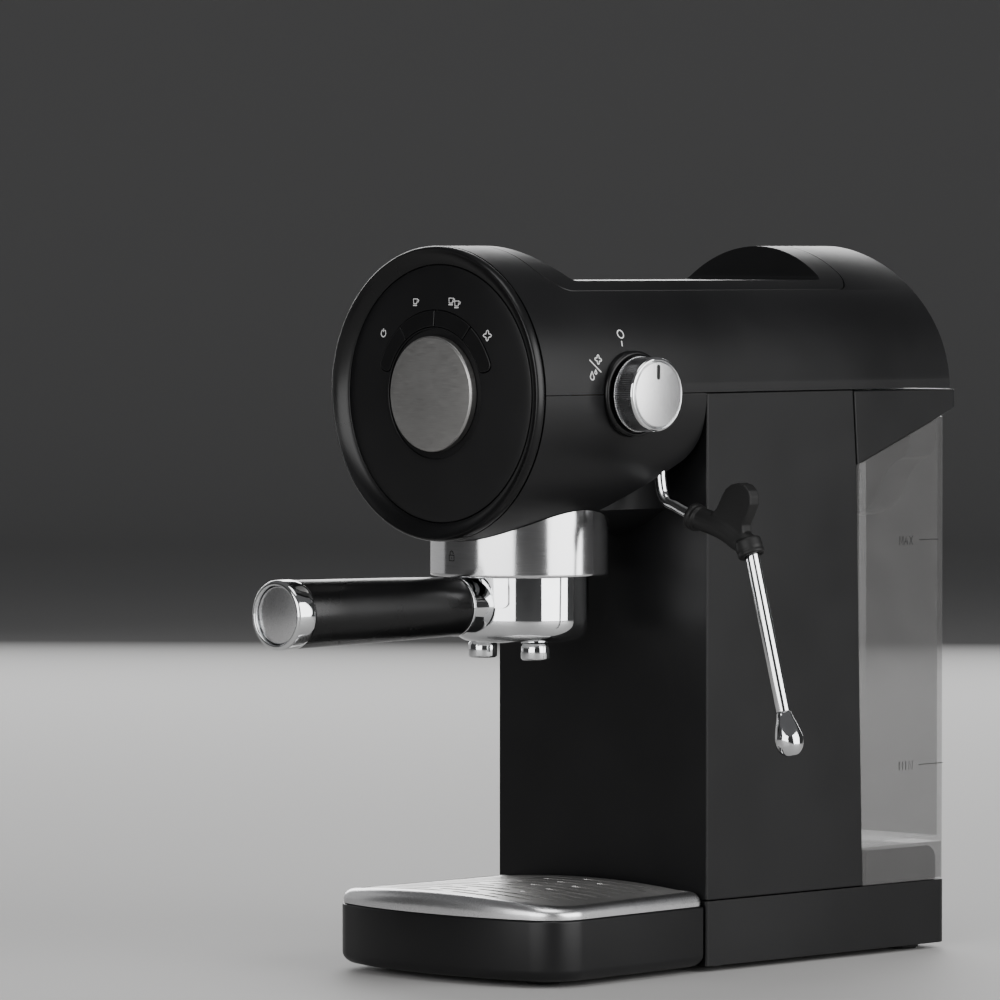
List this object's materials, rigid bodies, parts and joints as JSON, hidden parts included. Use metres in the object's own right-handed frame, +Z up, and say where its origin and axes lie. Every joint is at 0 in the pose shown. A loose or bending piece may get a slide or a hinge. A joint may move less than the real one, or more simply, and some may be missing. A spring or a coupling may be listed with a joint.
{
  "type": "espresso machine",
  "caption": "Slim pump espresso machine: round head with push buttons, portafilter, side steam knob and wand, rear water tank and pull-out drip tray.",
  "frame": {"origin": "middle of the footprint's bounding box, on the surface that the feet rest on", "axes": "+Z up, the front and the portafilter's handle towards -Y, the steam wand and its knob on +X"},
  "size_m": [0.1956, 0.35, 0.3061],
  "materials": {
    "body_plastic": "satin charcoal-black moulding",
    "bezel_black": "semi-gloss black",
    "panel_black": "smooth satin black",
    "button_black": "satin black",
    "grip_black": "semi-gloss black",
    "grip_rubber": "soft matt black",
    "rubber_black": "matt",
    "chrome": "polished",
    "satin_steel": "satin",
    "disc_steel": "brushed grey",
    "shroud_steel": "polished satin",
    "plate_steel": "brushed stainless with a bright rim",
    "screw_steel": "zinc plated",
    "brass": "machined",
    "cast_aluminium": "cast",
    "tank_smoke": "clear smoke-grey moulding",
    "circuit_board": "solder mask",
    "hose_white": "translucent silicone"
  },
  "bodies": {
    "machine": {"base_chassis": "body_plastic", "bottom_plate": "body_plastic", "bottom_screw_1": "screw_steel", "bottom_screw_2": "screw_steel", "bottom_screw_3": "screw_steel", "bottom_screw_4": "screw_steel", "foot_1": "rubber_black", "foot_2": "rubber_black", "foot_3": "rubber_black", "foot_4": "rubber_black", "column_housing": "body_plastic", "lower_head_shell": "body_plastic", "top_cover": "body_plastic", "cup_shelf": "body_plastic", "front_bezel": "bezel_black", "front_panel": "panel_black", "steel_disc": "disc_steel", "control_board": "circuit_board", "group_shroud": "shroud_steel", "group_head": "cast_aluminium", "group_gasket": "rubber_black", "shower_screen": "chrome", "screen_screw": "screw_steel", "boiler_block": "cast_aluminium", "steam_valve": "brass", "knob_collar": "bezel_black", "wand_nut": "brass", "tank_dock": "body_plastic", "pump": "screw_steel", "pump_mount": "rubber_black", "pump_bracket": "screw_steel", "supply_hose": "hose_white", "pressure_hose": "hose_white", "steam_line": "hose_white", "power_board": "circuit_board", "power_inlet": "bezel_black"},
    "portafilter": {"portafilter_cup": "chrome", "filter_basket": "satin_steel", "spout_left": "chrome", "spout_right": "chrome", "handle_ferrule": "chrome", "handle_grip": "grip_black", "handle_cap": "chrome", "handle_plug": "satin_steel"},
    "knob": {"steam_knob": "chrome", "knob_face": "satin_steel", "valve_stem": "brass"},
    "wand": {"wand_pipe": "chrome", "wand_grip": "grip_rubber", "wand_tube": "chrome", "wand_nozzle": "chrome"},
    "power_button": {"button_power": "button_black"},
    "single_button": {"button_single": "button_black"},
    "double_button": {"button_double": "button_black"},
    "steam_button": {"button_steam": "button_black"},
    "tank": {"tank_body": "tank_smoke", "tank_cap": "body_plastic"},
    "outlet_valve": {"tank_valve": "hose_white"},
    "tray": {"drip_tray": "body_plastic"},
    "plate": {"drip_plate": "plate_steel"}
  },
  "joints": [
    {"name": "portafilter_twist", "type": "hinge", "parent": "machine", "child": "portafilter", "pos_m": [-0.03124, -0.0328, 0.1805], "axis": [0, 0, 1], "range_deg": [-45, 0]},
    {"name": "knob_turn", "type": "hinge", "parent": "machine", "child": "knob", "pos_m": [0.03476, -0.0277, 0.2445], "axis": [1, 0, 0], "range_deg": [0, 60]},
    {"name": "wand_swivel", "type": "hinge", "parent": "machine", "child": "wand", "pos_m": [0.01876, 0.0008, 0.2165], "axis": [0, 0, 1], "range_deg": [-60, 25]},
    {"name": "power_press", "type": "slide", "parent": "machine", "child": "power_button", "axis": [0, 1, 0], "range_m": [0, 0.0012], "stiffness_N_per_m": 300},
    {"name": "single_press", "type": "slide", "parent": "machine", "child": "single_button", "axis": [0, 1, 0], "range_m": [0, 0.0012], "stiffness_N_per_m": 300},
    {"name": "double_press", "type": "slide", "parent": "machine", "child": "double_button", "axis": [0, 1, 0], "range_m": [0, 0.0012], "stiffness_N_per_m": 300},
    {"name": "steam_press", "type": "slide", "parent": "machine", "child": "steam_button", "axis": [0, 1, 0], "range_m": [0, 0.0012], "stiffness_N_per_m": 300},
    {"name": "tank_slide", "type": "slide", "parent": "machine", "child": "tank", "axis": [0, 1, 0], "range_m": [0, 0.12]},
    {"name": "valve_lift", "type": "slide", "parent": "tank", "child": "outlet_valve", "axis": [0, 0, 1], "range_m": [0, 0.002], "stiffness_N_per_m": 40},
    {"name": "drip_tray_slide", "type": "slide", "parent": "machine", "child": "tray", "axis": [0, -1, 0], "range_m": [0, 0.12]},
    {"name": "drip_plate_lift", "type": "slide", "parent": "tray", "child": "plate", "axis": [0, 0, 1], "range_m": [0, 0.03]}
  ]
}
